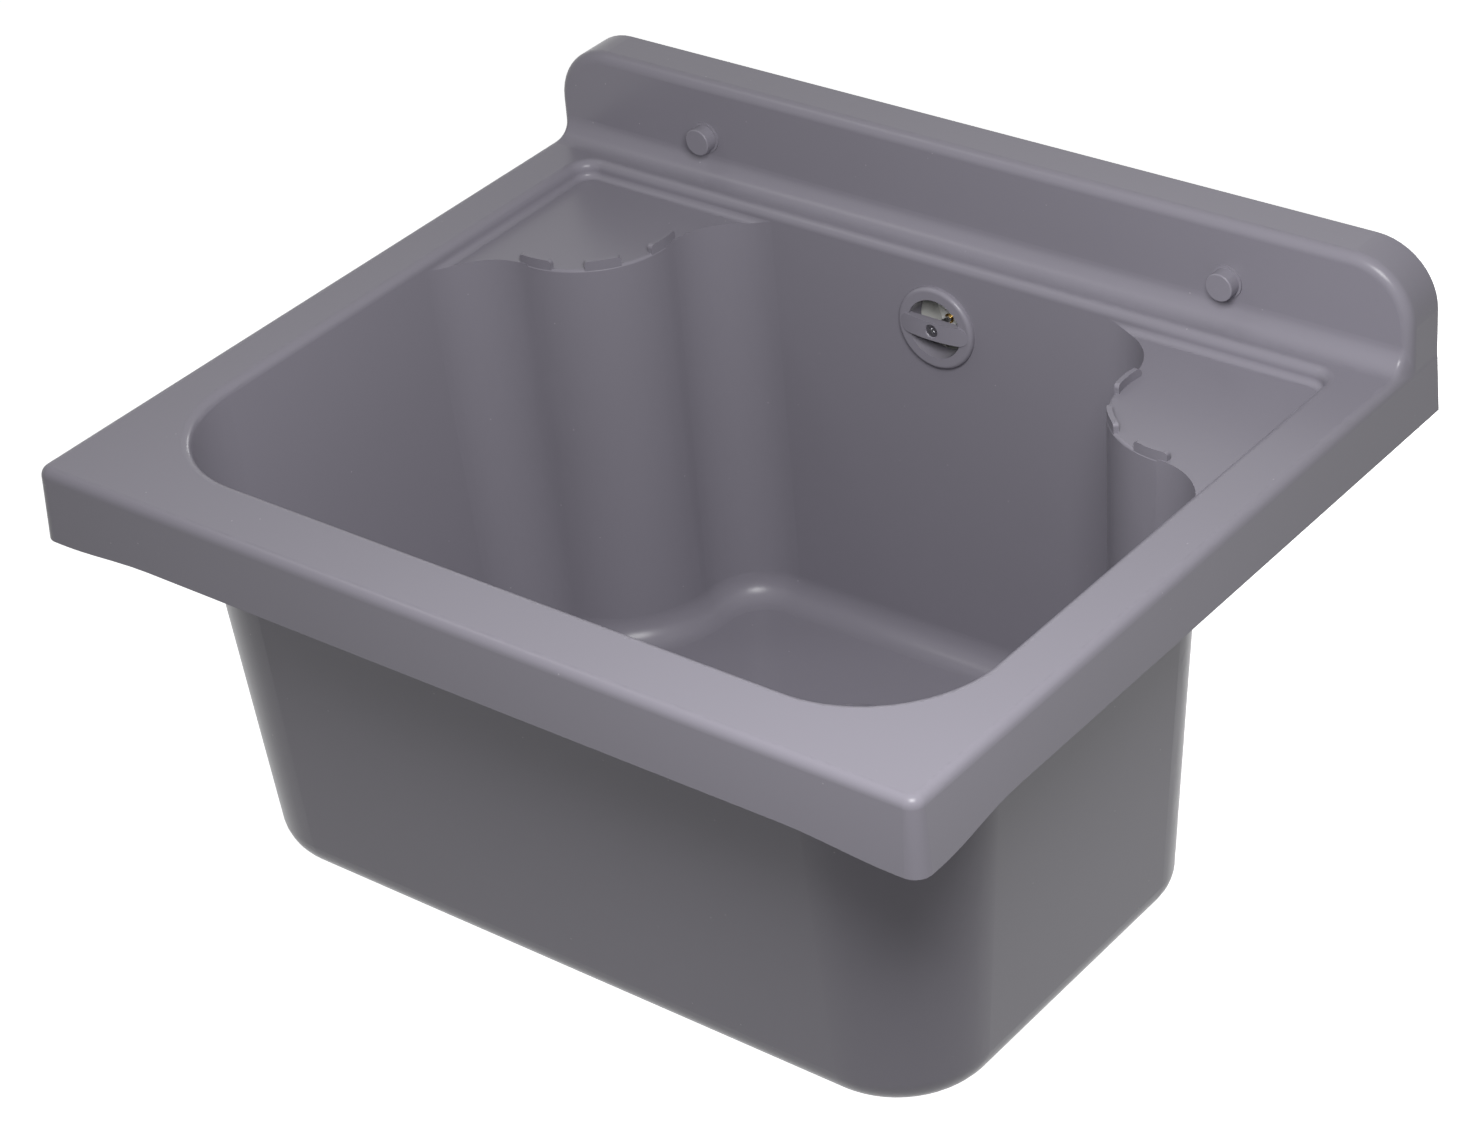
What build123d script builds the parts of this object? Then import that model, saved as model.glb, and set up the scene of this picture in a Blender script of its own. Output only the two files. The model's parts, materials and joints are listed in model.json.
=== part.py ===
from build123d import *
import math
import os

os.makedirs("parts", exist_ok=True)

# Wall-mounted utility sink, moulded in one piece, with its overflow set, waste and wall fixings.
# Millimetres. The wall is the plane y = 0, the sink stands out towards -Y, +Z is up and +X is right
# as seen from in front. The origin is midway between the two wall screws, on the wall.

# Overall moulding
width = 606.0
depth = 500.0
wall = 4.0
fixing_above_rim = 25.0

# Rim and its turned-down skirt
rim_draft = 2.5
rim_corner_radius = 8.0
rim_edge_radius = 6.0
skirt_front_depth = 42.0
skirt_side_depth = 39.0
skirt_corner_depth = 46.0
skirt_lobe_length = 68.0
skirt_lobe_land = 16.0

# Upstand against the wall
upstand_height = 62.5
upstand_thickness = 30.0
upstand_corner_radius = 38.0
upstand_edge_radius = 6.5
upstand_cove_radius = 14.0

# Bowl, measured at rim level on the inside from the outermost front, side and back of the sink
bowl_side = 37.0
bowl_front = 46.0
bowl_rear_gap = 52.0
bowl_depth = 276.0
side_draft = 4.7
rear_draft = 1.0
bowl_corner_radius = 76.0
bowl_floor_radius = 18.0
opening_edge_radius = 5.5

# Rounded columns that carry the soap shelves in the two rear corners
column_from_side = 44.0
column_from_wall = 103.0
column_radius = 59.0
column_blend_radius = 42.0

# Soap shelves and their drain tabs
shelf_depth = 10.5
shelf_corner_radius = 12.0
shelf_floor_radius = 4.0
shelf_nose_radius = 2.0
nose_relief = 0.05
tray_reach = 30.0
tray_margin = 0.5
tab_count = 3
tab_first_deg = 5.0
tab_pitch_deg = 42.5
tab_width_deg = 22.5
tab_height = 5.5
tab_thickness = 3.0
tab_end_radius = 2.5

# Screw bosses in the upstand
fixing_spacing = 370.0
boss_radius = 11.0
screw_hole_radius = 4.5

# Stiffening ribs on the hidden sides
rib_thickness = 3.0
rib_depth = 30.0
front_rib_places = (-150.0, 0.0, 150.0)
side_rib_places = (-380.0, -250.0)
upstand_rib_from_middle = 95.0
upstand_rib_from_side = 43.0
rib_bite = 1.0
rib_setback = 0.5

# Drain well in the floor
drain_from_wall = 162.0
drain_radius = 35.0
well_depth = 15.0
well_wall = 4.0
well_lip_thickness = 4.0
waste_throat_radius = 22.0

# Overflow in the rear wall
overflow_below_rim = 45.0
overflow_hole_radius = 21.0

# Wall screws, their collar washers and the caps that push onto the collars
screw_shank_radius = 3.8
screw_radius = 4.0
screw_reach = 50.0
screw_point_length = 6.0
screw_point_radius = 0.8
screw_head_across = 13.0
screw_head_height = 5.3
washer_radius = 10.0
washer_thickness = 1.2
collar_radius = 7.75
collar_height = 1.2
cap_radius = 8.6
cap_height = 8.0
cap_end_thickness = 1.0
cap_edge_radius = 0.8
push_fit = 0.1

# Overflow rosette, its screw, and the elbow that collects the water behind the wall
rosette_radius = 26.5
rosette_proud = 4.0
rosette_edge_radius = 2.5
rosette_opening_radius = 19.0
rosette_tube_radius = 20.7
rosette_tube_reach = 6.0
rosette_bar_height = 12.0
rosette_bar_length = 48.0
rosette_bar_bulge = 3.0
rosette_bar_back = 1.5
overflow_screw_radius = 2.0
overflow_screw_head_radius = 4.2
overflow_screw_head_depth = 2.4
overflow_screw_sunk = 0.8
gasket_thickness = 2.0
gasket_radius = 29.0
elbow_flange_radius = 30.0
elbow_flange_thickness = 3.0
elbow_radius = 23.0
elbow_wall = 2.0
elbow_depth = 25.0
elbow_spigot_reach = 54.0
post_radius = 5.5
post_gap = 6.0
overflow_insert_radius = 3.2
overflow_insert_length = 8.0

# Corrugated overflow hose and its clips
spigot_radius = 10.0
spigot_bore = 8.0
hose_bore = 10.3
hose_radius = 12.5
hose_bend_radius = 50.0
hose_end_gap = 3.0
clip_width = 8.0
clip_thickness = 0.8
clip_from_end = 9.0
clip_box = 7.0
clip_fit = 0.05

# Waste: strainer, seals, body and outlet
strainer_seal_thickness = 1.5
strainer_radius = 34.3
strainer_thickness = 1.5
strainer_hole_radius = 2.6
strainer_ring_count = 3
strainer_first_ring = 10.5
strainer_ring_pitch = 7.0
strainer_screw_radius = 3.0
strainer_screw_head_radius = 6.0
strainer_screw_head_height = 2.6
waste_seal_thickness = 3.0
waste_flange_radius = 36.0
waste_flange_thickness = 4.0
waste_body_radius = 26.0
waste_body_length = 34.0
branch_below_flange = 18.0
branch_end_from_wall = 112.0
outlet_radius = 23.9
outlet_bore = 20.5
outlet_length = 22.0
bridge_width = 7.0
bridge_drop = 2.0
bridge_height = 14.0
bridge_boss_radius = 7.0
waste_insert_radius = 4.5
waste_insert_length = 10.0
thread_fit = 0.05
clearance = 0.3

rim_z = -fixing_above_rim
front_y = -depth
rim_setback = skirt_corner_depth * math.tan(math.radians(rim_draft))
bowl_front_y = front_y + bowl_front
bowl_half_width = width / 2 - bowl_side
bowl_rear_y = -bowl_rear_gap
column_x = bowl_half_width - column_from_side
column_y = -column_from_wall
floor_z = rim_z - bowl_depth
shelf_z = rim_z - shelf_depth
side_slope = math.tan(math.radians(side_draft))
rear_slope = math.tan(math.radians(rear_draft))
upstand_top_z = rim_z + upstand_height
drain_y = -drain_from_wall
well_floor_z = floor_z - well_depth
well_bottom_z = well_floor_z - well_lip_thickness
flange_top_z = well_bottom_z - waste_seal_thickness
flange_low_z = flange_top_z - waste_flange_thickness
body_low_z = flange_low_z - waste_body_length
outlet_low_z = body_low_z - outlet_length
branch_z = flange_top_z - branch_below_flange
strainer_top_z = well_floor_z + strainer_seal_thickness + strainer_thickness
collar_end_y = -upstand_thickness - washer_thickness - collar_height
elbow_face = wall + gasket_thickness
elbow_back = elbow_face + elbow_depth
elbow_middle = (elbow_face + elbow_flange_thickness + elbow_back) / 2
post_face = elbow_face + post_gap


def plan_rectangle(x0, x1, y0, y1, z=0.0):
    """A flat rectangle between two x values and two y values."""
    return Pos((x0 + x1) / 2, (y0 + y1) / 2, z) * Rectangle(abs(x1 - x0), abs(y1 - y0))


def block(x0, x1, y0, y1, z0, z1):
    """A plain block between two corners."""
    middle = Pos((x0 + x1) / 2, (y0 + y1) / 2, (z0 + z1) / 2)
    return middle * Box(abs(x1 - x0), abs(y1 - y0), abs(z1 - z0))


def upright(x, y, radius, z0, z1):
    """A plain upright cylinder between two heights."""
    return Pos(x, y, (z0 + z1) / 2) * Cylinder(radius, abs(z1 - z0))


def level(x, z, radius, y0, y1):
    """A plain cylinder lying square to the wall."""
    return Pos(x, (y0 + y1) / 2, z) * Rot(90, 0, 0) * Cylinder(radius, abs(y1 - y0))


def rim_block(inset, top, bottom, rear):
    """The rim and skirt as a solid that widens downwards with the mould draft."""
    half = width / 2 - rim_setback - inset
    plan = plan_rectangle(-half, half, front_y + rim_setback + inset, rear)
    fronts = plan.vertices().sort_by(Axis.Y)[:2]
    plan = fillet(fronts, rim_corner_radius - inset)
    return extrude(Pos(0, 0, top) * plan, amount=top - bottom, dir=(0, 0, -1), taper=-rim_draft)


def skirt_trim(reach, low, high, plane):
    """Half of what is cut away under a skirt, whose edge hangs lower at the corner."""
    far = reach + 20
    start = reach - skirt_lobe_land
    end = start - skirt_lobe_length
    edge = [Line((far, -low), (start, -low))]
    edge.append(Spline((start, -low), (end, -high), tangents=[(-1, 0), (-1, 0)]))
    edge.append(Line((end, -high), (0, -high)))
    edge.append(Line((0, -high), (0, -low - 40)))
    edge.append(Line((0, -low - 40), (far, -low - 40)))
    edge.append(Line((far, -low - 40), (far, -low)))
    return extrude(plane * make_face(Curve() + edge), amount=skirt_lobe_land + 20)


def skirt_trims():
    """Everything that is cut away under the front and side skirts."""
    front = Plane(origin=(0, front_y + skirt_lobe_land, rim_z), x_dir=(1, 0, 0), z_dir=(0, -1, 0))
    right = skirt_trim(width / 2, skirt_corner_depth, skirt_front_depth, front)
    side = Plane(origin=(width / 2 + 20, 0, rim_z), x_dir=(0, -1, 0), z_dir=(-1, 0, 0))
    right_side = skirt_trim(depth, skirt_corner_depth, skirt_side_depth, side)
    return [right, mirror(right, Plane.YZ), right_side, mirror(right_side, Plane.YZ)]


def bowl_block(grow, bottom):
    """The bowl without its columns as a solid with mould draft, grown by the wall for its outside."""
    half = bowl_half_width + grow
    plan = plan_rectangle(-half, half, bowl_front_y - grow, depth)
    plan = fillet(plan.vertices().sort_by(Axis.Y)[:2], bowl_corner_radius + grow)
    body = extrude(Pos(0, 0, rim_z) * plan, amount=rim_z - bottom, dir=(0, 0, -1), taper=side_draft)
    plan = plan_rectangle(-width, width, -2 * depth, bowl_rear_y + grow)
    body &= extrude(Pos(0, 0, rim_z) * plan, amount=rim_z - bottom, dir=(0, 0, -1), taper=rear_draft)
    corners = [e for e in body.edges() if is_steep(e) and (e @ 0.5).Y > column_y]
    return fillet(corners, shelf_corner_radius + grow)


def column(side, grow, top, bottom):
    """The corner column under a soap shelf, which widens downwards with the draft of the rear wall."""
    radius = column_radius + (rim_z - top) * rear_slope - grow
    far = column_x + 2 * column_radius
    plan = Pos(column_x, column_y) * Circle(radius)
    plan += plan_rectangle(column_x, far, column_y - radius, column_radius)
    plan += plan_rectangle(column_x - radius, far, column_y, column_radius)
    body = extrude(Pos(0, 0, top) * plan, amount=top - bottom, dir=(0, 0, -1), taper=-rear_draft)
    return body if side > 0 else mirror(body, Plane.YZ)


def is_steep(edge):
    """Whether an edge runs up and down between two levels."""
    run = edge @ 1 - edge @ 0
    return abs(run.Z) > 0.8 * edge.length


def bowl_prism(grow, columns_top, bottom, floor_radius):
    """The bowl as a solid with mould draft and a rounded floor edge, its columns left out up to a level."""
    body = bowl_block(grow, bottom)
    for side in (-1, 1):
        body -= column(side, grow, columns_top, bottom)
    blends = []
    for edge in body.edges():
        middle = edge @ 0.5
        behind = middle.Y > column_y - column_radius - bowl_corner_radius / 2
        in_corner = abs(middle.X) > column_x and middle.Y > column_y
        if is_steep(edge) and behind and not in_corner:
            blends.append(edge)
    body = fillet(blends, column_blend_radius + grow)
    return fillet(body.faces().sort_by(Axis.Z)[0].edges(), floor_radius)


def shelf_tray(side, grow, bottom, floor_radius):
    """The room over one soap shelf, reaching into the bowl on its two open sides."""
    inner = column_x - column_radius - column_blend_radius - tray_reach
    front = column_y - column_radius - column_blend_radius - tray_reach
    tray = bowl_block(grow, bottom) & block(inner, width, front, depth, bottom, rim_z)
    tray = fillet(tray.faces().sort_by(Axis.Z)[0].edges(), floor_radius)
    return tray if side > 0 else mirror(tray, Plane.YZ)


def upstand_block(inset):
    """The upstand against the wall as a solid, or its hollow when inset by the wall thickness."""
    half = width / 2 - rim_setback - inset
    top = upstand_top_z - inset
    bottom = rim_z - 10
    face = plan_rectangle(-half, half, bottom, top)
    face = fillet(face.vertices().sort_by(Axis.Y)[-2:], upstand_corner_radius - inset)
    front = Plane(origin=(0, 0, 0), x_dir=(1, 0, 0), z_dir=(0, -1, 0))
    body = extrude(front * face, amount=upstand_thickness - inset)
    if inset > 0:
        body += extrude(front * face, amount=-10)
    edges = body.faces().sort_by(Axis.Y)[0].edges()
    keep = [e for e in edges if (e @ 0.5).Z > bottom + 1]
    return fillet(keep, upstand_edge_radius - inset)


def shelf_tab(side, angle):
    """One drain tab standing on the edge of a soap shelf, cut as an arc with rounded top ends."""
    outer = column_radius + shelf_depth * rear_slope - 0.2
    middle = outer - tab_thickness / 2
    top = shelf_z + tab_height
    ring = upright(0, 0, outer, shelf_z - 3, top) - upright(0, 0, outer - tab_thickness, shelf_z - 4, top + 1)
    half = middle * math.radians(tab_width_deg / 2)
    face = plan_rectangle(-half, half, shelf_z - 4, top)
    face = fillet(face.vertices().sort_by(Axis.Y)[-2:], tab_end_radius)
    window = Plane(origin=(0, -middle + 8, 0), x_dir=(1, 0, 0), z_dir=(0, -1, 0))
    ring = ring & extrude(window * face, amount=20)
    return Pos(side * column_x, column_y, 0) * Rot(0, 0, -side * angle) * ring


def overflow_plane(out):
    """A plane square to the overflow, a distance outwards from the inside of the rear wall."""
    tilt = math.radians(rear_draft)
    y = bowl_rear_y - overflow_below_rim * rear_slope
    normal = Vector(0, -math.cos(tilt), math.sin(tilt))
    start = Vector(0, y, rim_z - overflow_below_rim) - normal * out
    return Plane(origin=start, x_dir=(1, 0, 0), z_dir=normal)


def disc_on_wall(radius, back, front):
    """A cylinder square to the rear wall of the bowl, front and back measured into the bowl."""
    return extrude(overflow_plane(-back) * Circle(radius), amount=front - back)


def ribs():
    """Stiffening ribs hidden under the rim and behind the upstand."""
    low = rim_z - rib_depth
    top = rim_z - wall + rib_bite
    half = rib_thickness / 2
    front = front_y + wall - rib_bite
    plates = []
    for x in front_rib_places:
        plates.append(block(x - half, x + half, front + rim_setback, bowl_front_y, low, top))
    for y in side_rib_places:
        for side in (-1, 1):
            inner = side * bowl_half_width
            outer = side * (width / 2 - rim_setback - wall + rib_bite)
            plates.append(block(inner, outer, y - half, y + half, low, top))
    face = -upstand_thickness + wall - rib_bite
    top = upstand_top_z - wall + rib_bite
    for place in (upstand_rib_from_middle, width / 2 - upstand_rib_from_side):
        for x in (-place, place):
            plates.append(block(x - half, x + half, face, -rib_setback, rim_z - wall, top))
    return plates


def opening_edges(shell):
    """The edges where the flat rim meets the bowl."""
    found = []
    for edge in shell.edges():
        box = edge.bounding_box()
        flat = abs(box.min.Z - rim_z) < 0.01 and abs(box.max.Z - rim_z) < 0.01
        inside = box.max.X < bowl_half_width + 0.1 and box.min.X > -bowl_half_width - 0.1
        if flat and inside and box.min.Y > bowl_front_y - 0.1 and box.max.Y < bowl_rear_y + 0.1:
            found.append(edge)
    return found


def nose_cut(side):
    """What rounds the edge of a soap shelf along its column, ending a hair outside the column."""
    n = shelf_nose_radius
    r = column_radius + (shelf_depth + n) * rear_slope + nose_relief
    profile = plan_rectangle(r - n, r + 1, shelf_z - n, shelf_z + 1) - Pos(r - n, shelf_z - n) * Circle(n)
    profile_plane = Plane(origin=(0, 0, 0), x_dir=(0, -1, 0), z_dir=(-1, 0, 0))
    ring = revolve(profile_plane * profile, Axis.Z, 90)
    ring = ring if side < 0 else mirror(ring, Plane.YZ)
    return Pos(side * column_x, column_y, 0) * ring


def shell_blank():
    """The rim, skirt and upstand of the moulding, hollow from below and behind."""
    rim = rim_block(0, rim_z, rim_z - skirt_corner_depth, 20)
    top_edges = [e for e in rim.faces().sort_by(Axis.Z)[-1].edges() if (e @ 0.5).Y < 19]
    rim = fillet(top_edges, rim_edge_radius)
    rim -= rim_block(wall, rim_z - wall, rim_z - skirt_corner_depth - 10, 40)
    for trim in skirt_trims():
        rim -= trim
    shell = rim + upstand_block(0)
    shell -= block(-width, width, 0, depth, -depth, depth)
    foot = []
    for edge in shell.edges():
        middle = edge @ 0.5
        if abs(middle.Y + upstand_thickness) < 0.01 and abs(middle.Z - rim_z) < 0.01:
            foot.append(edge)
    shell = fillet(foot, upstand_cove_radius)
    return shell - upstand_block(wall)


def basin_shell():
    """The whole sink moulding with its thin walls, shelves, screw bosses, ribs, overflow and drain holes."""
    shell = shell_blank()
    shell += bowl_prism(wall, rim_z, floor_z - wall, bowl_floor_radius + wall)
    for side in (-1, 1):
        shell += shelf_tray(side, wall, shelf_z - wall, shelf_floor_radius + wall)
        shell += level(side * fixing_spacing / 2, 0, boss_radius, -upstand_thickness + 1, 0)
    shell += upright(0, drain_y, drain_radius + well_wall, well_bottom_z, floor_z - 1)
    for rib in ribs():
        shell += rib
    columns_top = shelf_z + shelf_floor_radius + tray_margin
    below = block(-width, width, -depth, 0, shelf_z - 1, columns_top)
    for side in (-1, 1):
        shell -= shelf_tray(side, 0, shelf_z, shelf_floor_radius) & below
    shell -= bowl_prism(0, columns_top, floor_z, bowl_floor_radius)
    for side in (-1, 1):
        shell -= level(side * fixing_spacing / 2, 0, screw_hole_radius, -upstand_thickness - 5, 5)
    shell -= upright(0, drain_y, drain_radius, well_floor_z, floor_z + 1)
    shell -= upright(0, drain_y, waste_throat_radius, well_bottom_z - 1, floor_z)
    shell -= disc_on_wall(overflow_hole_radius, -wall - 5, 5)
    shell = fillet(opening_edges(shell), opening_edge_radius)
    for side in (-1, 1):
        shell -= nose_cut(side)
        for n in range(tab_count):
            shell += shelf_tab(side, tab_first_deg + n * tab_pitch_deg)
    return shell


def screw_places():
    """The x values of the two wall screws."""
    return (-fixing_spacing / 2, fixing_spacing / 2)


def wall_screws():
    """Two hexagon-head screws that stand out of the back into the wall."""
    screws = []
    for x in screw_places():
        front = Plane(origin=(x, collar_end_y, 0), x_dir=(1, 0, 0), z_dir=(0, -1, 0))
        hexagon = RegularPolygon(radius=screw_head_across / 2, side_count=6, major_radius=False)
        head = extrude(front * hexagon, amount=screw_head_height)
        shank = level(x, 0, screw_shank_radius, collar_end_y - 1, 1)
        thread = level(x, 0, screw_radius, 0, screw_reach - screw_point_length)
        tip = Pos(x, screw_reach - screw_point_length / 2, 0) * Rot(-90, 0, 0)
        point = tip * Cone(screw_radius, screw_point_radius, screw_point_length)
        screws.append(head + shank + thread + point)
    return Compound(children=screws)


def screw_washers():
    """Two plastic washers with a raised collar for the caps."""
    washers = []
    for x in screw_places():
        flange = level(x, 0, washer_radius, -upstand_thickness - washer_thickness, -upstand_thickness)
        collar = level(x, 0, collar_radius, collar_end_y, -upstand_thickness)
        hole = level(x, 0, screw_radius + clearance, collar_end_y - 1, -upstand_thickness + 1)
        washers.append(flange + collar - hole)
    return Compound(children=washers)


def screw_cap(x):
    """A round cap that pushes onto a washer collar and hides the screw head."""
    back = -upstand_thickness - washer_thickness
    front = back - cap_height
    cap = level(x, 0, cap_radius, front, back)
    cap = fillet(cap.faces().sort_by(Axis.Y)[0].edges(), cap_edge_radius)
    return cap - level(x, 0, collar_radius + push_fit, front + cap_end_thickness, back + 1)


def overflow_rosette():
    """The round cover in the bowl with its crossbar, and the tube that passes through the wall."""
    flange = disc_on_wall(rosette_radius, 0, rosette_proud)
    flange = fillet(flange.edges().sort_by(Axis.Y)[0], rosette_edge_radius)
    body = flange + disc_on_wall(rosette_tube_radius, -wall - rosette_tube_reach, 1)
    body -= disc_on_wall(rosette_opening_radius, -wall - rosette_tube_reach - 1, rosette_proud + 1)
    half = rosette_bar_length / 2
    front = rosette_proud + rosette_bar_bulge
    bulge_radius = (half ** 2 + rosette_bar_bulge ** 2) / (2 * rosette_bar_bulge)
    back = overflow_plane(-rosette_bar_back)
    bar = extrude(back * SlotOverall(rosette_bar_length, rosette_bar_height), amount=front)
    bulge = Pos(0, 0, front - bulge_radius) * Rot(90, 0, 0) * Cylinder(bulge_radius, 3 * rosette_bar_height)
    body += bar & (overflow_plane(0) * bulge)
    body -= disc_on_wall(overflow_screw_radius + clearance, 0, front + 1)
    seat = front - overflow_screw_sunk
    wide = overflow_screw_head_radius + clearance
    body -= disc_on_wall(wide, seat, front + 1)
    cone = Cone(overflow_screw_radius + clearance, wide, overflow_screw_head_depth)
    return body - overflow_plane(0) * (Pos(0, 0, seat - overflow_screw_head_depth / 2) * cone)


def overflow_screw():
    """Countersunk screw that draws the rosette and the elbow together through the wall."""
    front = rosette_proud + rosette_bar_bulge - overflow_screw_sunk
    low = front - overflow_screw_head_depth
    cone = Cone(overflow_screw_radius, overflow_screw_head_radius, overflow_screw_head_depth)
    screw = overflow_plane(0) * (Pos(0, 0, (front + low) / 2) * cone)
    return screw + disc_on_wall(overflow_screw_radius, -post_face - overflow_insert_length + 0.5, low + 0.1)


def overflow_gasket():
    """Flat sealing ring between the outside of the rear wall and the elbow."""
    ring = disc_on_wall(gasket_radius, -elbow_face, -wall)
    return ring - disc_on_wall(rosette_tube_radius + clearance, -elbow_face - 1, 0)


def overflow_elbow():
    """Collector behind the wall with a hose spigot pointing down."""
    body = disc_on_wall(elbow_flange_radius, -elbow_face - elbow_flange_thickness, -elbow_face)
    body += disc_on_wall(elbow_radius, -elbow_back, -elbow_face)
    side = Plane(origin=overflow_plane(elbow_middle).origin, x_dir=(1, 0, 0), z_dir=-overflow_plane(0).y_dir)
    body += extrude(side * Circle(spigot_radius), amount=elbow_spigot_reach)
    body -= disc_on_wall(elbow_radius - elbow_wall, -elbow_back + elbow_wall, -elbow_face + 1)
    body -= extrude(side * Circle(spigot_bore), amount=elbow_spigot_reach + 1)
    post = disc_on_wall(post_radius, -elbow_back + 0.5, -post_face)
    post -= disc_on_wall(overflow_insert_radius, -post_face - overflow_insert_length, -post_face + 1)
    return body + post


def overflow_insert():
    """Threaded brass insert in the post of the elbow."""
    back = -post_face - overflow_insert_length
    insert = disc_on_wall(overflow_insert_radius, back, -post_face)
    return insert - disc_on_wall(overflow_screw_radius + thread_fit, back - 1, 0)


def hose_path():
    """Centre line of the overflow hose, down behind the bowl and forward to the waste."""
    down = -overflow_plane(0).y_dir
    start = overflow_plane(elbow_middle).origin + down * (elbow_flange_radius + hose_end_gap)
    turn = start + down * ((start.Z - branch_z) / -down.Z)
    end = Vector(0, drain_y + waste_body_radius + hose_end_gap, branch_z)
    return FilletPolyline(start, turn, end, radius=hose_bend_radius)


def tube_along(path, outer, inner):
    """A tube swept along a path."""
    start = Plane(origin=path @ 0, z_dir=path % 0)
    solid = sweep(start * Circle(outer), path=path)
    return solid - sweep(start * Circle(inner), path=path)


def overflow_hose():
    """Flexible hose from the overflow elbow to the waste body."""
    return tube_along(hose_path(), hose_radius, hose_bore)


def hose_clips():
    """Two metal bands that hold the hose ends on their spigots."""
    path = hose_path()
    ends = ((path @ 0, path % 0), (path @ 1, path % 1 * -1))
    clips = []
    for point, along in ends:
        start = Plane(origin=point + along * (clip_from_end - clip_width / 2), x_dir=(1, 0, 0), z_dir=along)
        inner = hose_radius + clip_fit
        band = extrude(start * Circle(inner + clip_thickness), amount=clip_width)
        housing = Box(clip_box, clip_box + 3, clip_width)
        housing = start * (Pos(inner + clip_box / 2, 0, clip_width / 2) * housing)
        band = fillet(housing.edges(), 1.0) + band
        clips.append(band - extrude(start * Circle(inner), amount=clip_width))
    return Compound(children=clips)


def drain_ring(outer, inner, z0, z1):
    """A flat ring around the drain axis."""
    return upright(0, drain_y, outer, z0, z1) - upright(0, drain_y, inner, z0 - 1, z1 + 1)


def strainer_seal():
    """Sealing ring under the strainer."""
    top = well_floor_z + strainer_seal_thickness
    return drain_ring(strainer_radius, waste_throat_radius + clearance, well_floor_z, top)


def strainer():
    """Perforated stainless plate in the drain well."""
    plate = upright(0, drain_y, strainer_radius, strainer_top_z - strainer_thickness, strainer_top_z)
    plate -= upright(0, drain_y, strainer_screw_radius + clearance, strainer_top_z - 5, strainer_top_z + 1)
    for k in range(strainer_ring_count):
        ring = strainer_first_ring + k * strainer_ring_pitch
        count = 6 * (k + 1)
        for n in range(count):
            angle = math.tau * n / count
            x = ring * math.cos(angle)
            y = drain_y + ring * math.sin(angle)
            plate -= upright(x, y, strainer_hole_radius, strainer_top_z - 5, strainer_top_z + 1)
    return plate


def strainer_screw():
    """Central screw that clamps strainer, seals and waste body to the sink."""
    top = strainer_top_z + strainer_screw_head_height
    head = upright(0, drain_y, strainer_screw_head_radius, strainer_top_z, top)
    head = fillet(head.faces().sort_by(Axis.Z)[-1].edges(), 1.2)
    low = flange_top_z - bridge_drop - bridge_height + 1
    return head + upright(0, drain_y, strainer_screw_radius, low, strainer_top_z + 1)


def waste_seal():
    """Thick sealing ring between the sink and the flange of the waste body."""
    return drain_ring(waste_flange_radius, waste_throat_radius + clearance, flange_top_z, well_bottom_z)


def waste_body():
    """Waste body with its flange, the bridge for the screw, the overflow spigot and the outlet."""
    body = upright(0, drain_y, waste_flange_radius, flange_low_z, flange_top_z)
    body += upright(0, drain_y, waste_body_radius, body_low_z, flange_top_z)
    body += upright(0, drain_y, outlet_radius, outlet_low_z, body_low_z + 1)
    body += level(0, branch_z, spigot_radius, drain_y, -branch_end_from_wall)
    body -= upright(0, drain_y, waste_throat_radius, body_low_z + 3, flange_top_z + 1)
    body -= upright(0, drain_y, outlet_bore, outlet_low_z - 1, flange_top_z)
    body -= level(0, branch_z, spigot_bore, drain_y, -branch_end_from_wall + 1)
    top = flange_top_z - bridge_drop
    reach = waste_throat_radius + 1
    half = bridge_width / 2
    bridge = block(-reach, reach, drain_y - half, drain_y + half, top - bridge_height, top)
    bridge += upright(0, drain_y, bridge_boss_radius, top - bridge_height, top)
    bridge -= upright(0, drain_y, waste_insert_radius, top - waste_insert_length, top + 1)
    bridge -= upright(0, drain_y, strainer_screw_radius + clearance, top - bridge_height - 1, top)
    return body + bridge


def waste_insert():
    """Threaded brass insert in the bridge of the waste body."""
    top = flange_top_z - bridge_drop
    return drain_ring(waste_insert_radius, strainer_screw_radius + thread_fit, top - waste_insert_length, top)


parts = {
    "basin_shell": basin_shell(),
    "wall_screws": wall_screws(),
    "screw_washers": screw_washers(),
    "left_cap": screw_cap(-fixing_spacing / 2),
    "right_cap": screw_cap(fixing_spacing / 2),
    "overflow_rosette": overflow_rosette(),
    "overflow_screw": overflow_screw(),
    "overflow_gasket": overflow_gasket(),
    "overflow_elbow": overflow_elbow(),
    "overflow_insert": overflow_insert(),
    "overflow_hose": overflow_hose(),
    "hose_clips": hose_clips(),
    "strainer": strainer(),
    "strainer_screw": strainer_screw(),
    "strainer_seal": strainer_seal(),
    "waste_seal": waste_seal(),
    "waste_body": waste_body(),
    "waste_insert": waste_insert(),
}
for name, part in parts.items():
    export_step(part, f"parts/{name}.step")
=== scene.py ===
"""Wall-mounted utility sink: finishes, fine details, camera and light over the construction model."""

import json  # noqa: E402
import logging  # noqa: E402
import math  # noqa: E402
from dataclasses import dataclass, field  # noqa: E402
from enum import Enum  # noqa: E402

import bmesh  # noqa: E402
import bpy  # noqa: E402
from mathutils import Matrix, Vector  # noqa: E402

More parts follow.
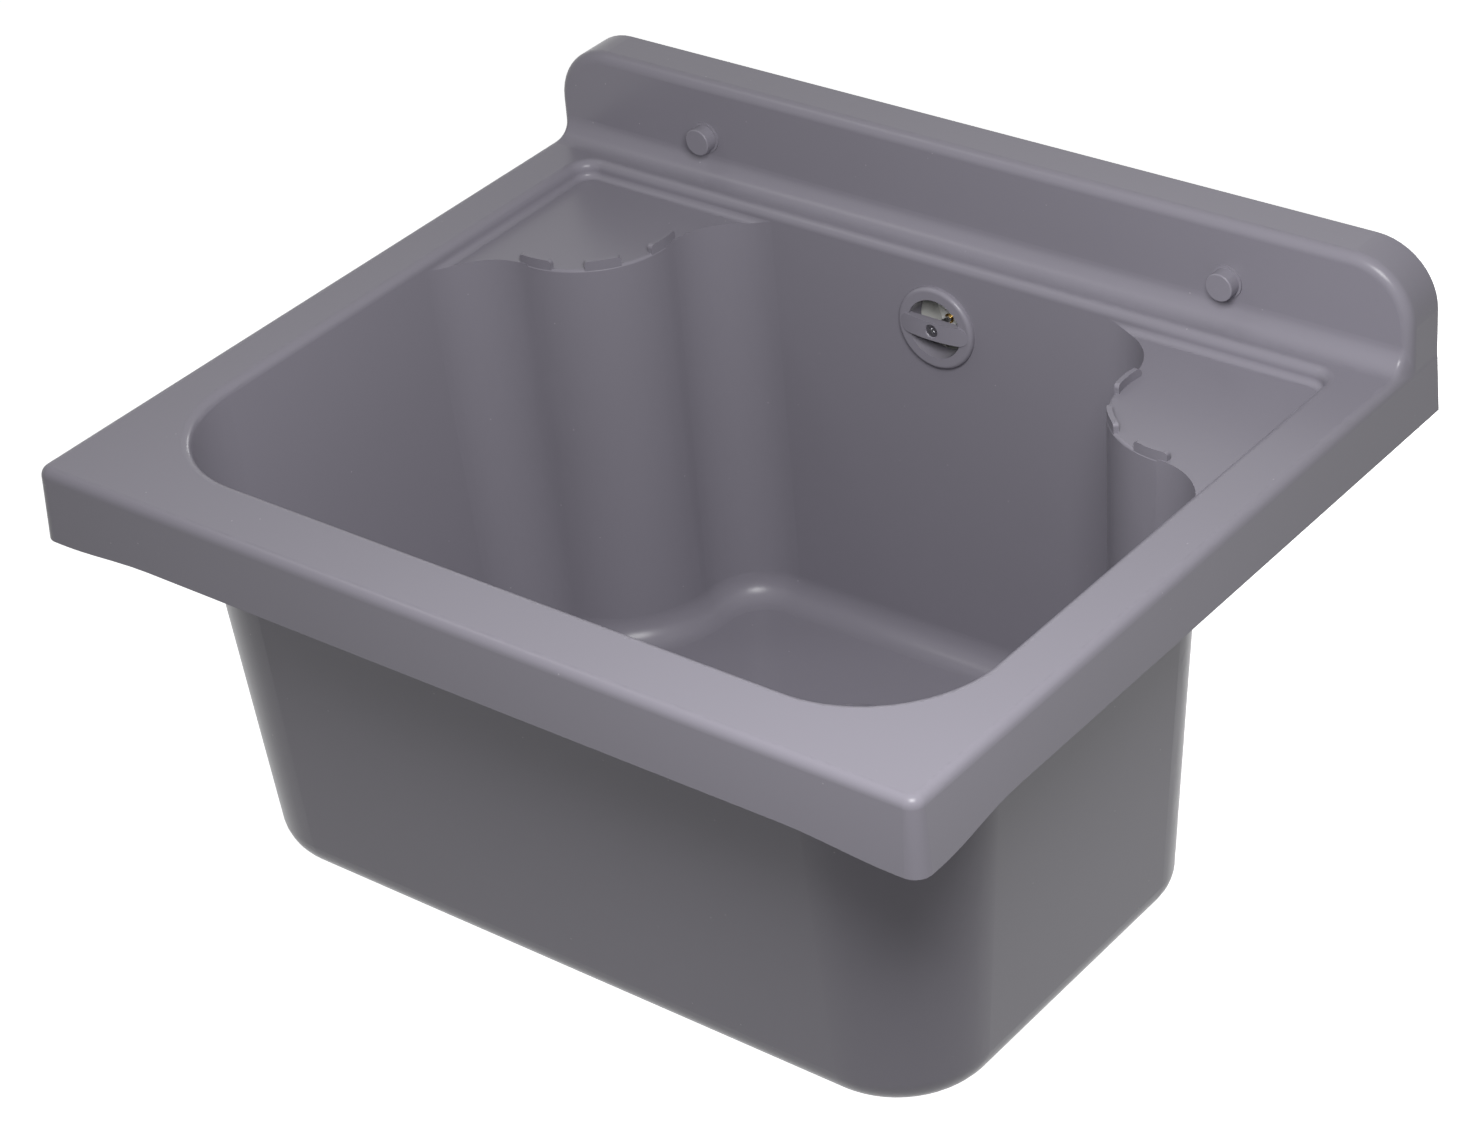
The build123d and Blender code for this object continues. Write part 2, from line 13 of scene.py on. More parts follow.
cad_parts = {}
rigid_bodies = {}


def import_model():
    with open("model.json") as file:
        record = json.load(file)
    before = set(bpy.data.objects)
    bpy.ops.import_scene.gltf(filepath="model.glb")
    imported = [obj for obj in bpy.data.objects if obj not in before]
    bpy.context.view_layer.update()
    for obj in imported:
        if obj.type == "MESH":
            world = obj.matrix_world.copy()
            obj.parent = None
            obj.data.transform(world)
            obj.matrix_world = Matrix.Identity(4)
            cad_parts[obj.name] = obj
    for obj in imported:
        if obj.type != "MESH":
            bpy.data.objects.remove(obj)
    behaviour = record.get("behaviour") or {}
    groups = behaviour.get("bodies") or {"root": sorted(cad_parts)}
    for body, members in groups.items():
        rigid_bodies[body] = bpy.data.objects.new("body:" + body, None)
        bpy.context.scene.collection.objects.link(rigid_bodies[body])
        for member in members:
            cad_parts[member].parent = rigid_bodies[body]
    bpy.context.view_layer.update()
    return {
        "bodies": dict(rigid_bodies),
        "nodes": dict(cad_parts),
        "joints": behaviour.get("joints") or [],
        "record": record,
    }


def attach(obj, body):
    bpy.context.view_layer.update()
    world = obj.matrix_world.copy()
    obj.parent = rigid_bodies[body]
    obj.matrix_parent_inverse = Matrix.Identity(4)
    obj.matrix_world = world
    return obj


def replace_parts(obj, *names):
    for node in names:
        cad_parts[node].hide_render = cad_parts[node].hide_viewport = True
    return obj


logging.basicConfig(level=logging.INFO, format="%(message)s")
LOG = logging.getLogger("sink")

MM = 0.001
# Edges up to this angle are shaded smooth: machined pieces, and the rounded waves of the hose
MACHINED_SMOOTH_DEG = 35
CORRUGATED_SMOOTH_DEG = 60
# Corners of a turned profile closer than this are one point on the axis
MERGE_MM = 0.0005
# The numbers of the mix node's colour sockets, which share their names with its other sockets
MIX_COLOUR_A, MIX_COLOUR_B, MIX_COLOUR_OUT = 6, 7, 2
WHITE = (1.0, 1.0, 1.0, 1.0)


class Body(Enum):
    """The rigid bodies of the sink that an added piece rides on."""

    SINK = "root"


class Slot(Enum):
    """The record's material slots named for the added pieces; the build methods take them but don't use them.
    """

    WASTE = "waste_plastic"
    HOSE = "hose_plastic"
    STAINLESS = "stainless_steel"
    ZINC = "zinc_steel"


def linear_channel(value: float) -> float:
    """Turn one sRGB channel from 0 to 1 into linear light."""
    return value / 12.92 if value <= 0.04045 else ((value + 0.055) / 1.055) ** 2.4


def linear(hex_colour: str) -> tuple[float, float, float, float]:
    """Turn an sRGB hex colour into a linear colour.

    Args:
        hex_colour: a colour such as "#77747c".

    Returns:
        Red, green, blue and alpha in linear light.
    """
    channels = [int(hex_colour[i : i + 2], 16) / 255 for i in (1, 3, 5)]
    return (*[linear_channel(c) for c in channels], 1.0)


def add_node(
    tree: bpy.types.NodeTree, kind: str, links: dict | None = None, **settings: object
) -> bpy.types.Node:
    """Add a shader node with its settings and its incoming links.

    Args:
        tree: the material's or world's node tree.
        kind: the node type's name.
        links: input name or number to the output socket that feeds it.
        settings: attributes of the node, or inputs by name with spaces as underscores.

    Returns:
        The new node.
    """
    node = tree.nodes.new(kind)
    for name, value in settings.items():
        if hasattr(node, name):
            setattr(node, name, value)
    for name, value in settings.items():
        key = name.replace("_", " ")
        if not hasattr(node, name) and key in node.inputs:
            node.inputs[key].default_value = value
    for key, socket in (links or {}).items():
        tree.links.new(socket, node.inputs[key])
    return node


def new_material(name: str) -> tuple[bpy.types.Material, bpy.types.NodeTree, bpy.types.Node]:
    """Make an empty material with an output.

    Args:
        name: the material's name.

    Returns:
        The material, its node tree and its output node.
    """
    material = bpy.data.materials.new(name)
    material.use_nodes = True
    tree = material.node_tree
    tree.nodes.clear()
    output = add_node(tree, "ShaderNodeOutputMaterial")
    return material, tree, output


@dataclass(frozen=True)
class MouldedPolypropylene:
    """Injection-moulded polypropylene with a satin mould finish.

    The eye sees a soft, slightly waxy sheen, an even body colour with a faint cloudiness, and a few tiny
    pale specks of filler at the surface.
    """

    name: str
    colour: str
    cloud_colour: str
    speck_colour: str = "#a9a7ae"
    roughness: float = 0.29
    ior: float = 1.49
    specular: float = 0.25
    cloud_mm: float = 180.0
    speck_spacing_mm: float = 16.0
    speck_radius_mm: float = 0.55
    speck_cover: float = 0.75
    grain_mm: float = 0.9
    grain_height_mm: float = 0.012
    grain_strength: float = 0.25

    def build(self) -> bpy.types.Material:
        """Build the node material."""
        material, tree, output = new_material(self.name)
        place = add_node(tree, "ShaderNodeTexCoord").outputs["Object"]
        # Cloudiness of the pigment, a hand's breadth across
        cloud = add_node(
            tree, "ShaderNodeTexNoise", {"Vector": place}, Scale=1 / (self.cloud_mm * MM), Detail=3.0
        )
        body = add_node(tree, "ShaderNodeMix", {"Factor": cloud.outputs["Fac"]}, data_type="RGBA")
        body.inputs[MIX_COLOUR_A].default_value = linear(self.colour)
        body.inputs[MIX_COLOUR_B].default_value = linear(self.cloud_colour)
        # Filler specks: real ones are finer, and are drawn half a millimetre wide so that they show
        cell = add_node(
            tree,
            "ShaderNodeTexVoronoi",
            {"Vector": place},
            Scale=1 / (self.speck_spacing_mm * MM),
            Randomness=1.0,
        )
        radius = self.speck_radius_mm / self.speck_spacing_mm
        speck = add_node(tree, "ShaderNodeMapRange", {"Value": cell.outputs["Distance"]})
        speck.inputs["From Min"].default_value = radius * 0.5
        speck.inputs["From Max"].default_value = radius
        speck.inputs["To Min"].default_value = self.speck_cover
        speck.inputs["To Max"].default_value = 0.0
        under = {"Factor": speck.outputs["Result"], MIX_COLOUR_A: body.outputs[MIX_COLOUR_OUT]}
        colour = add_node(tree, "ShaderNodeMix", under, data_type="RGBA")
        colour.inputs[MIX_COLOUR_B].default_value = linear(self.speck_colour)
        # Fine grain of the blasted mould, drawn a little coarser than the real 0.3 mm
        grain = add_node(
            tree, "ShaderNodeTexNoise", {"Vector": place}, Scale=1 / (self.grain_mm * MM), Detail=2.0
        )
        bump = add_node(
            tree, "ShaderNodeBump", {"Height": grain.outputs["Fac"]}, Strength=self.grain_strength
        )
        bump.inputs["Distance"].default_value = self.grain_height_mm * MM
        shader = add_node(
            tree,
            "ShaderNodeBsdfPrincipled",
            {"Base Color": colour.outputs[MIX_COLOUR_OUT], "Normal": bump.outputs["Normal"]},
            Roughness=self.roughness,
            IOR=self.ior,
            Specular_IOR_Level=self.specular,
        )
        tree.links.new(shader.outputs[0], output.inputs[0])
        return material


@dataclass(frozen=True)
class PlainPlastic:
    """Moulded polymer of one colour, such as the waste fittings.

    The eye sees an even colour with a soft highlight and next to no texture.
    """

    name: str
    colour: str
    roughness: float
    ior: float = 1.50
    ripple_mm: float = 30.0
    ripple_height_mm: float = 0.2
    ripple_strength: float = 0.15

    def build(self) -> bpy.types.Material:
        """Build the node material."""
        material, tree, output = new_material(self.name)
        place = add_node(tree, "ShaderNodeTexCoord").outputs["Object"]
        # Slight waviness of a moulded wall
        ripple = add_node(
            tree, "ShaderNodeTexNoise", {"Vector": place}, Scale=1 / (self.ripple_mm * MM), Detail=1.0
        )
        bump = add_node(
            tree, "ShaderNodeBump", {"Height": ripple.outputs["Fac"]}, Strength=self.ripple_strength
        )
        bump.inputs["Distance"].default_value = self.ripple_height_mm * MM
        shader = add_node(
            tree,
            "ShaderNodeBsdfPrincipled",
            {"Normal": bump.outputs["Normal"]},
            Roughness=self.roughness,
            IOR=self.ior,
        )
        shader.inputs["Base Color"].default_value = linear(self.colour)
        tree.links.new(shader.outputs[0], output.inputs[0])
        return material


@dataclass(frozen=True)
class SealRubber:
    """Black EPDM rubber, moulded.

    The eye sees a near-black surface that scatters light with almost no highlight.
    """

    name: str = "moulded_epdm_rubber"
    colour: str = "#1c1c1d"
    roughness: float = 0.78
    ior: float = 1.52
    grain_mm: float = 0.6
    grain_height_mm: float = 0.05
    grain_strength: float = 0.4

    def build(self) -> bpy.types.Material:
        """Build the node material."""
        material, tree, output = new_material(self.name)
        place = add_node(tree, "ShaderNodeTexCoord").outputs["Object"]
        grain = add_node(
            tree, "ShaderNodeTexNoise", {"Vector": place}, Scale=1 / (self.grain_mm * MM), Detail=3.0
        )
        bump = add_node(
            tree, "ShaderNodeBump", {"Height": grain.outputs["Fac"]}, Strength=self.grain_strength
        )
        bump.inputs["Distance"].default_value = self.grain_height_mm * MM
        shader = add_node(
            tree,
            "ShaderNodeBsdfPrincipled",
            {"Normal": bump.outputs["Normal"]},
            Roughness=self.roughness,
            IOR=self.ior,
        )
        shader.inputs["Base Color"].default_value = linear(self.colour)
        tree.links.new(shader.outputs[0], output.inputs[0])
        return material


@dataclass(frozen=True)
class WorkedMetal:
    """Metal with the fine lines of its working: brushed sheet, turned brass or a plated screw.

    The eye sees a bright metal whose highlight is broken by fine parallel lines.
    """

    name: str
    colour: str
    roughness: float
    line_mm: float
    line_strength: float
    line_height_mm: float = 0.02
    line_stretch: float = 30.0
    smoothest: float = 0.8
    roughest: float = 1.25

    def build(self) -> bpy.types.Material:
        """Build the node material."""
        material, tree, output = new_material(self.name)
        place = add_node(tree, "ShaderNodeTexCoord").outputs["Object"]
        # The noise is stretched along one direction, so that it turns into lines
        stretch = add_node(tree, "ShaderNodeMapping", {"Vector": place})
        stretch.inputs["Scale"].default_value = (1 / self.line_stretch, 1.0, 1.0)
        lines = add_node(
            tree,
            "ShaderNodeTexNoise",
            {"Vector": stretch.outputs[0]},
            Scale=1 / (self.line_mm * MM),
            Detail=2.0,
        )
        rough = add_node(tree, "ShaderNodeMapRange", {"Value": lines.outputs["Fac"]})
        rough.inputs["To Min"].default_value = self.roughness * self.smoothest
        rough.inputs["To Max"].default_value = self.roughness * self.roughest
        bump = add_node(tree, "ShaderNodeBump", {"Height": lines.outputs["Fac"]}, Strength=self.line_strength)
        bump.inputs["Distance"].default_value = self.line_height_mm * MM
        shader = add_node(
            tree,
            "ShaderNodeBsdfPrincipled",
            {"Roughness": rough.outputs["Result"], "Normal": bump.outputs["Normal"]},
            Metallic=1.0,
        )
        shader.inputs["Base Color"].default_value = linear(self.colour)
        tree.links.new(shader.outputs[0], output.inputs[0])
        return material


BASIN_POLYPROPYLENE = MouldedPolypropylene(
    "injection_moulded_grey_polypropylene", colour="#7f7c85", cloud_colour="#83808a"
)
CAP_POLYPROPYLENE = MouldedPolypropylene(
    "moulded_grey_polypropylene_fittings",
    colour="#84818a",
    cloud_colour="#86838d",
    roughness=0.27,
    speck_spacing_mm=40.0,
)
WASTE_POLYPROPYLENE = PlainPlastic("injection_moulded_white_polypropylene", "#d9d9d6", 0.38)
HOSE_POLYETHYLENE = PlainPlastic("blown_corrugated_polyethylene", "#cfcfcb", 0.42)
EPDM_RUBBER = SealRubber()
BRUSHED_STAINLESS = WorkedMetal(
    "brushed_stainless_steel", "#c4c4c6", roughness=0.28, line_mm=0.35, line_strength=0.35
)
ZINC_STEEL = WorkedMetal("zinc_plated_steel", "#b9bcc0", roughness=0.34, line_mm=0.5, line_strength=0.2)
TURNED_BRASS = WorkedMetal("turned_brass", "#c8a25a", roughness=0.25, line_mm=0.3, line_strength=0.3)


def finished_piece(
    name: str, bm: bmesh.types.BMesh, material: bpy.types.Material, body: Body
) -> bpy.types.Object:
    """Turn a bmesh into a scene object with its finish and body.

    Args:
        name: the piece's name.
        bm: the finished mesh, in metres in the sink's frame; it is freed here.
        material: the piece's finish.
        body: the rigid body that it rides on.

    Returns:
        The new object.
    """
    mesh = bpy.data.meshes.new(name)
    bm.to_mesh(mesh)
    bm.free()
    mesh.materials.append(material)
    piece = bpy.data.objects.new(name, mesh)
    bpy.context.scene.collection.objects.link(piece)
    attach(piece, body.value)
    LOG.info("made %s: %d faces", name, len(mesh.polygons))
    return piece


def shade_smooth(mesh: bpy.types.Mesh, angle_deg: float) -> None:
    """Shade a mesh smooth except at edges sharper than an angle.

    Args:
        mesh: the mesh to shade.
        angle_deg: the sharpest edge that is still smooth.
    """
    mesh.polygons.foreach_set("use_smooth", [True] * len(mesh.polygons))
    mesh.set_sharp_from_angle(angle=math.radians(angle_deg))


def aimed(place: Vector, direction: Vector) -> Matrix:
    """Work out the placing that carries the upright axis at the origin to a place and a direction.

    Args:
        place: where the origin goes, in metres.
        direction: where the upright axis then points.

    Returns:
        The placing as a matrix.
    """
    return Matrix.Translation(place) @ direction.to_track_quat("Z", "X").to_matrix().to_4x4()


def turned(profile: list[tuple[float, float]], steps: int) -> bmesh.types.BMesh:
    """Turn a closed or axis-to-axis profile about the upright axis, as on a lathe.

    Args:
        profile: radius and height of each corner in millimetres, from one end of the axis to the other.
        steps: number of facets around the axis.

    Returns:
        The turned mesh with its doubles merged and its normals outwards.
    """
    bm = bmesh.new()
    corners = [bm.verts.new((radius * MM, 0.0, height * MM)) for radius, height in profile]
    for first, second in zip(corners, corners[1:]):
        bm.edges.new((first, second))
    geometry = bm.verts[:] + bm.edges[:]
    bmesh.ops.spin(
        bm,
        geom=geometry,
        cent=(0, 0, 0),
        axis=(0, 0, 1),
        angle=math.tau,
        steps=steps,
        use_merge=True,
        use_duplicate=False,
    )
    bmesh.ops.remove_doubles(bm, verts=bm.verts, dist=MERGE_MM * MM)
    bmesh.ops.recalc_face_normals(bm, faces=bm.faces)
    return bm


class Recess(Enum):
    """The drives cut into the screw heads, as the number of crossing slots."""

    SLOT = 1
    CROSS = 2


@dataclass
class DrivenScrew:
    """A turned screw with a drive recess in its head, with its sizes in millimetres."""

    name: str
    profile: list[tuple[float, float]]
    place: Vector
    direction: Vector
    recess: Recess
    recess_length: float
    recess_width: float
    recess_depth: float
    steps: int = 48
    recess_floor_share: float = 0.75

    def cutter(self, top: float) -> bmesh.types.BMesh:
        """Make the shape of the drive recess.

        Args:
            top: height of the head's end face in millimetres.

        Returns:
            One bar for each slot, crossing at the axis and narrowing with depth.
        """
        bm = bmesh.new()
        for n in range(self.recess.value):
            turn = Matrix.Rotation(n * math.pi / 2, 4, "Z")
            size = Matrix.Diagonal(
                (self.recess_length * MM, self.recess_width * MM, 2 * self.recess_depth * MM, 1)
            )
            placing = Matrix.Translation((0, 0, top * MM)) @ turn @ size
            bar = bmesh.ops.create_cube(bm, size=1.0, matrix=placing)
            low = [v for v in bar["verts"] if v.co.z < top * MM]
            bmesh.ops.scale(bm, vec=(self.recess_floor_share, self.recess_floor_share, 1.0), verts=low)
        return bm

    def build(self, material: bpy.types.Material, slot: Slot) -> bpy.types.Object:
        """Turn the screw and cut its recess.

        Args:
            material: the screw's finish.
            slot: the record's material slot; not used.

        Returns:
            The finished screw.
        """
        top = max(height for _, height in self.profile)
        solid = turned(self.profile, self.steps)
        carved = self.carve(solid, self.cutter(top))
        bmesh.ops.transform(carved, matrix=aimed(self.place, self.direction), verts=carved.verts)
        piece = finished_piece(self.name, carved, material, Body.SINK)
        shade_smooth(piece.data, MACHINED_SMOOTH_DEG)
        return piece

    def carve(self, solid: bmesh.types.BMesh, cutter: bmesh.types.BMesh) -> bmesh.types.BMesh:
        """Cut one mesh out of another with a boolean modifier.

        Args:
            solid: what is cut; it is freed here.
            cutter: what cuts; it is freed here.

        Returns:
            The mesh that is left.
        """
        objects = []
        for label, bm in (("blank", solid), ("cutter", cutter)):
            mesh = bpy.data.meshes.new(label)
            bm.to_mesh(mesh)
            bm.free()
            objects.append(bpy.data.objects.new(label, mesh))
            bpy.context.scene.collection.objects.link(objects[-1])
        cut = objects[0].modifiers.new("recess", "BOOLEAN")
        cut.operation = "DIFFERENCE"
        cut.solver = "EXACT"
        cut.object = objects[1]
        cut.use_self = True
        left = bmesh.new()
        left.from_mesh(objects[0].evaluated_get(bpy.context.evaluated_depsgraph_get()).data)
        for obj in objects:
            mesh = obj.data
            bpy.data.objects.remove(obj)
            bpy.data.meshes.remove(mesh)
        return left


@dataclass
class HelicalThread:
    """The raised ridge of a screw thread around a plain shank, with its sizes in millimetres."""

    name: str
    place: Vector
    direction: Vector
    shank_radius: float
    ridge_height: float
    ridge_width: float
    pitch: float
    length: float
    steps_per_turn: int = 36
    sunk: float = 0.15
    crest_share: float = 0.12

    def build(self, material: bpy.types.Material, slot: Slot) -> bpy.types.Object:
        """Wind the ridge by spinning its section along the shank.

        Args:
            material: the thread's finish.
            slot: the record's material slot; not used.

        Returns:
            The finished ridge.
        """
        bm = bmesh.new()
        foot = self.shank_radius - self.sunk
        crest = self.shank_radius + self.ridge_height
        half = self.ridge_width / 2
        flat = self.crest_share * self.ridge_width
        section = ((foot, -half), (crest, -flat), (crest, flat), (foot, half))
        corners = [bm.verts.new((radius * MM, 0.0, (height + half) * MM)) for radius, height in section]
        face = bm.faces.new(corners)
        turns = (self.length - self.ridge_width) / self.pitch
        steps = round(turns * self.steps_per_turn)
        geometry = [face] + face.edges[:] + corners
        bmesh.ops.spin(
            bm,
            geom=geometry,
            cent=(0, 0, 0),
            axis=(0, 0, 1),
            dvec=(0, 0, turns * self.pitch * MM / steps),
            angle=math.tau * turns,
            steps=steps,
            use_merge=False,
            use_duplicate=False,
        )
        bmesh.ops.recalc_face_normals(bm, faces=bm.faces)
        bmesh.ops.transform(bm, matrix=aimed(self.place, self.direction), verts=bm.verts)
        piece = finished_piece(self.name, bm, material, Body.SINK)
        shade_smooth(piece.data, MACHINED_SMOOTH_DEG)
        return piece


@dataclass
class Threads:
    """The threads that the construction model leaves plain."""

    fixing_half_spacing: float = 185.0
    wall_screw_start: float = 2.0
    outlet_top: Vector = field(default_factory=lambda: Vector((0.0, -162.0, -361.5)) * MM)

    def build(self, zinc: bpy.types.Material, plastic: bpy.types.Material) -> None:
        """Wind the threads of the two wall screws and of the outlet.

        Args:
            zinc: finish of the wall screws.
            plastic: finish of the waste body.
        """
        into_wall = Vector((0, 1, 0))
        for label, x in (("left", -self.fixing_half_spacing), ("right", self.fixing_half_spacing)):
            HelicalThread(
                name=f"{label}_wall_screw_thread",
                place=Vector((x, self.wall_screw_start, 0.0)) * MM,
                direction=into_wall,
                shank_radius=4.0,
                ridge_height=0.45,
                ridge_width=1.2,
                pitch=3.4,
                length=41.0,
            ).build(zinc, Slot.ZINC)
        HelicalThread(
            name="outlet_pipe_thread",
            place=self.outlet_top,
            direction=Vector((0, 0, -1)),
            shank_radius=23.9,
            ridge_height=0.4,
            ridge_width=1.9,
            pitch=2.309,
            length=20.5,
            steps_per_turn=72,
        ).build(plastic, Slot.WASTE)


@dataclass
class ScrewHeads:
    """The screws whose drive recesses show, and the worm screws of the two hose clips."""

    overflow_face: Vector = field(default_factory=lambda: Vector((0.0, -52.7855, -70.0)) * MM)
    overflow_tilt_deg: float = 1.0
    strainer_face: Vector = field(default_factory=lambda: Vector((0.0, -162.0, -313.0)) * MM)
    upper_clip: Vector = field(default_factory=lambda: Vector((16.05, -28.52, -112.43)) * MM)
    lower_clip: Vector = field(default_factory=lambda: Vector((16.05, -124.0, -346.0)) * MM)

    def build(self, steel: bpy.types.Material) -> None:
        """Turn the screws in place of the plain ones and add the worm screws.

        Args:
            steel: their stainless finish.
        """
        tilt = math.radians(self.overflow_tilt_deg)
        out = Vector((0, -math.cos(tilt), math.sin(tilt)))
        countersunk = [(0, 6.2), (4.0, 6.2), (4.2, 6.05), (2.0, 3.8), (2.0, -19.2), (1.7, -19.5), (0, -19.5)]
        screw = DrivenScrew(
            name="overflow_screw_cross_recessed",
            profile=countersunk,
            place=self.overflow_face,
            direction=out,
            recess=Recess.CROSS,
            recess_length=4.6,
            recess_width=1.1,
            recess_depth=1.5,
        ).build(steel, Slot.STAINLESS)
        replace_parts(screw, "overflow_screw")
        pan_head = [(0, 2.6), (4.6, 2.6), (5.35, 2.35), (5.8, 1.85), (6.0, 1.2), (6.0, 0)]
        shank = [(3.0, 0), (3.0, -24.6), (2.6, -25), (0, -25)]
        screw = DrivenScrew(
            name="strainer_screw_slotted",
            profile=pan_head + shank,
            place=self.strainer_face,
            direction=Vector((0, 0, 1)),
            recess=Recess.SLOT,
            recess_length=13.0,
            recess_width=1.6,
            recess_depth=1.3,
        ).build(steel, Slot.STAINLESS)
        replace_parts(screw, "strainer_screw")
        worm = [(0, 3.2), (2.9, 3.2), (3.2, 2.9), (3.2, 0.6), (2.2, 0.3), (2.2, -0.5), (0, -0.5)]
        for label, place, direction in (
            ("upper", self.upper_clip, Vector((0, 0.99985, -0.01746))),
            ("lower", self.lower_clip, Vector((0, 0, -1))),
        ):
            DrivenScrew(
                name=f"{label}_clip_worm_screw",
                profile=worm,
                place=place,
                direction=direction,
                recess=Recess.SLOT,
                recess_length=7.0,
                recess_width=1.1,
                recess_depth=1.2,
                steps=24,
            ).build(steel, Slot.STAINLESS)


@dataclass
class OverflowHose:
    """Corrugated hose from the overflow elbow down to the waste body."""

    start: Vector = field(default_factory=lambda: Vector((0.0, -33.36, -103.34)) * MM)
    turn: Vector = field(default_factory=lambda: Vector((0.0, -37.51, -341.0)) * MM)
    end: Vector = field(default_factory=lambda: Vector((0.0, -133.0, -341.0)) * MM)
    bend_radius: float = 50.0 * MM
    crest_radius: float = 12.45 * MM
    groove_radius: float = 11.1 * MM
    cuff_radius: float = 12.2 * MM
    cuff_length: float = 14.0 * MM
    pitch: float = 3.4 * MM
    crest_sharpness: float = 0.7
    wall: float = 0.8 * MM
    ring_points: int = 40
    steps_per_pitch: int = 6

    def rings(self) -> list[tuple[Vector, Vector, float]]:
        """Work out where the rings of the hose lie.

        Returns:
            Centre, direction and radius of each ring from the elbow to the waste.
        """
        down = (self.turn - self.start).normalized()
        along = (self.end - self.turn).normalized()
        angle = down.angle(along)
        cut = self.bend_radius * math.tan(angle / 2)
        first = (self.turn - self.start).length - cut
        bend = self.bend_radius * angle
        last = (self.end - self.turn).length - cut
        total = first + bend + last
        inwards = (along - down * along.dot(down)).normalized()
        centre = self.turn - down * cut + inwards * self.bend_radius
        axis = down.cross(along).normalized()
        step = self.pitch / self.steps_per_pitch
        count = round(total / step)
        found = []
        for n in range(count + 1):
            s = total * n / count
            if s <= first:
                point, direction = self.start + down * s, down
            elif s <= first + bend:
                turn = Matrix.Rotation((s - first) / self.bend_radius, 3, axis)
                point = centre + turn @ (self.turn - down * cut - centre)
                direction = turn @ down
            else:
                point, direction = self.end - along * (total - s), along
            from_end = min(s, total - s)
            wave = 0.5 - 0.5 * math.cos(math.tau * from_end / self.pitch)
            height = (self.crest_radius - self.groove_radius) * wave**self.crest_sharpness
            ripple = self.groove_radius + height
            found.append((point, direction, self.cuff_radius if from_end < self.cuff_length else ripple))
        return found

    def build(self, material: bpy.types.Material) -> bpy.types.Object:
        """Build the hose by extruding a ring along its route.

        Args:
            material: the hose's finish.

        Returns:
            The finished hose, which stands in for the plain one.
        """
        bm = bmesh.new()
        places = self.rings()
        edges: list[bmesh.types.BMEdge] = []
        for n, (point, direction, radius) in enumerate(places):
            across = Vector((1, 0, 0))
            up = direction.cross(across).normalized()
            frame = Matrix((across, up, direction)).transposed().to_4x4()
            frame = Matrix.Translation(point) @ frame @ Matrix.Diagonal((radius, radius, radius, 1))
            if n == 0:
                ring = bmesh.ops.create_circle(bm, segments=self.ring_points, radius=1.0, matrix=frame)
                edges = list({e for v in ring["verts"] for e in v.link_edges})
                previous = frame
                continue
            grown = bmesh.ops.extrude_edge_only(bm, edges=edges)["geom"]
            verts = [g for g in grown if isinstance(g, bmesh.types.BMVert)]
            edges = [g for g in grown if isinstance(g, bmesh.types.BMEdge)]
            bmesh.ops.transform(bm, matrix=frame @ previous.inverted(), verts=verts)
            previous = frame
        bmesh.ops.recalc_face_normals(bm, faces=bm.faces)
        bmesh.ops.solidify(bm, geom=bm.faces[:], thickness=self.wall)
        bmesh.ops.recalc_face_normals(bm, faces=bm.faces)
        piece = finished_piece("overflow_hose_corrugated", bm, material, Body.SINK)
        shade_smooth(piece.data, CORRUGATED_SMOOTH_DEG)
        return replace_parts(piece, "overflow_hose")


@dataclass
class Finishes:
    """All the finishes of the sink, built once."""

    basin: bpy.types.Material = field(default_factory=BASIN_POLYPROPYLENE.build)
    cap: bpy.types.Material = field(default_factory=CAP_POLYPROPYLENE.build)
    waste: bpy.types.Material = field(default_factory=WASTE_POLYPROPYLENE.build)
    hose: bpy.types.Material = field(default_factory=HOSE_POLYETHYLENE.build)
    rubber: bpy.types.Material = field(default_factory=EPDM_RUBBER.build)
    stainless: bpy.types.Material = field(default_factory=BRUSHED_STAINLESS.build)
    zinc: bpy.types.Material = field(default_factory=ZINC_STEEL.build)
    brass: bpy.types.Material = field(default_factory=TURNED_BRASS.build)

    def dress(self, nodes: dict[str, bpy.types.Object]) -> None:
        """Give every construction node its finish.

        Args:
            nodes: node name to its object.
        """
        plan = {
            "basin_shell": self.basin,
            "wall_screws": self.zinc,
            "screw_washers": self.cap,
            "left_cap": self.cap,
            "right_cap": self.cap,
            "overflow_rosette": self.cap,
            "overflow_screw": self.stainless,
            "overflow_gasket": self.rubber,
            "overflow_elbow": self.waste,
            "overflow_insert": self.brass,
            "overflow_hose": self.hose,
            "hose_clips": self.stainless,
            "strainer": self.stainless,
            "strainer_screw": self.stainless,
            "strainer_seal": self.rubber,
            "waste_seal": self.rubber,
            "waste_body": self.waste,
            "waste_insert": self.brass,
        }
        for name, material in plan.items():
            mesh = nodes[name].data
            mesh.materials.clear()
            mesh.materials.append(material)
            LOG.info("dressed %s in %s", name, material.name)


@dataclass(frozen=True)
class Lamp:
    """A square soft lamp, with its places and size in metres."""

    name: str
    place: tuple[float, float, float]
    aim: tuple[float, float, float]
    size: float
    watts: float

    def build(self) -> None:
        """Add the lamp to the scene."""
        data = bpy.data.lights.new(self.name, "AREA")
        data.shape = "SQUARE"
        data.size = self.size
        data.energy = self.watts
        lamp = bpy.data.objects.new(self.name, data)
        lamp.location = self.place
        lamp.rotation_mode = "QUATERNION"
        lamp.rotation_quaternion = (Vector(self.aim) - Vector(self.place)).to_track_quat("-Z", "Y")
        bpy.context.scene.collection.objects.link(lamp)


